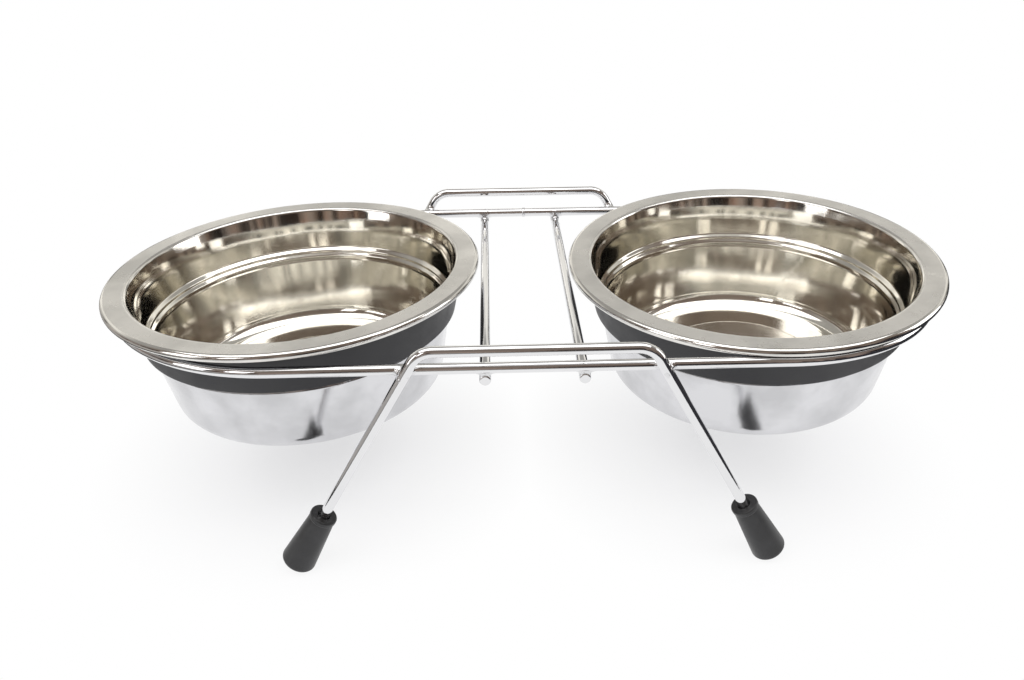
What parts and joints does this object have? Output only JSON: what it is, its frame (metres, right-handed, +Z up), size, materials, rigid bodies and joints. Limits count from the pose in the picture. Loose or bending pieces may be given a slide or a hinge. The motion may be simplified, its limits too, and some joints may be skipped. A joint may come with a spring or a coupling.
{
  "type": "double pet bowl stand",
  "caption": "Raised pet feeder: a bent, chromed wire stand with splayed legs and tapered rubber feet, holding round steel bowls with rubber bands side by side",
  "frame": {"origin": "on the floor under the middle of the stand, midway between the bowls", "axes": "+X to the right along the row of bowls, +Y to the rear, +Z up"},
  "size_m": [0.3819, 0.1902, 0.108],
  "materials": {
    "chromed_wire": "bright plated",
    "chromed_weld": "plated over the weld",
    "bowl_steel": "polished inside, satin rim and outside",
    "band_rubber": "matte",
    "foot_rubber": "matte"
  },
  "bodies": {
    "stand": {"loop_wire": "chromed_wire", "loop_seam_weld": "chromed_weld", "left_crossbar": "chromed_wire", "right_crossbar": "chromed_wire", "crossbar_welds": "chromed_weld", "front_leg_wire": "chromed_wire", "rear_leg_wire": "chromed_wire", "leg_welds": "chromed_weld", "front_left_foot": "foot_rubber", "front_right_foot": "foot_rubber", "rear_left_foot": "foot_rubber", "rear_right_foot": "foot_rubber"},
    "left_bowl_body": {"left_bowl": "bowl_steel", "left_band": "band_rubber"},
    "right_bowl_body": {"right_bowl": "bowl_steel", "right_band": "band_rubber"}
  },
  "joints": [
    {"name": "left_bowl_lift", "type": "slide", "parent": "stand", "child": "left_bowl_body", "axis": [0, 0, 1], "range_m": [0, 0.1]},
    {"name": "right_bowl_lift", "type": "slide", "parent": "stand", "child": "right_bowl_body", "axis": [0, 0, 1], "range_m": [0, 0.1]}
  ]
}
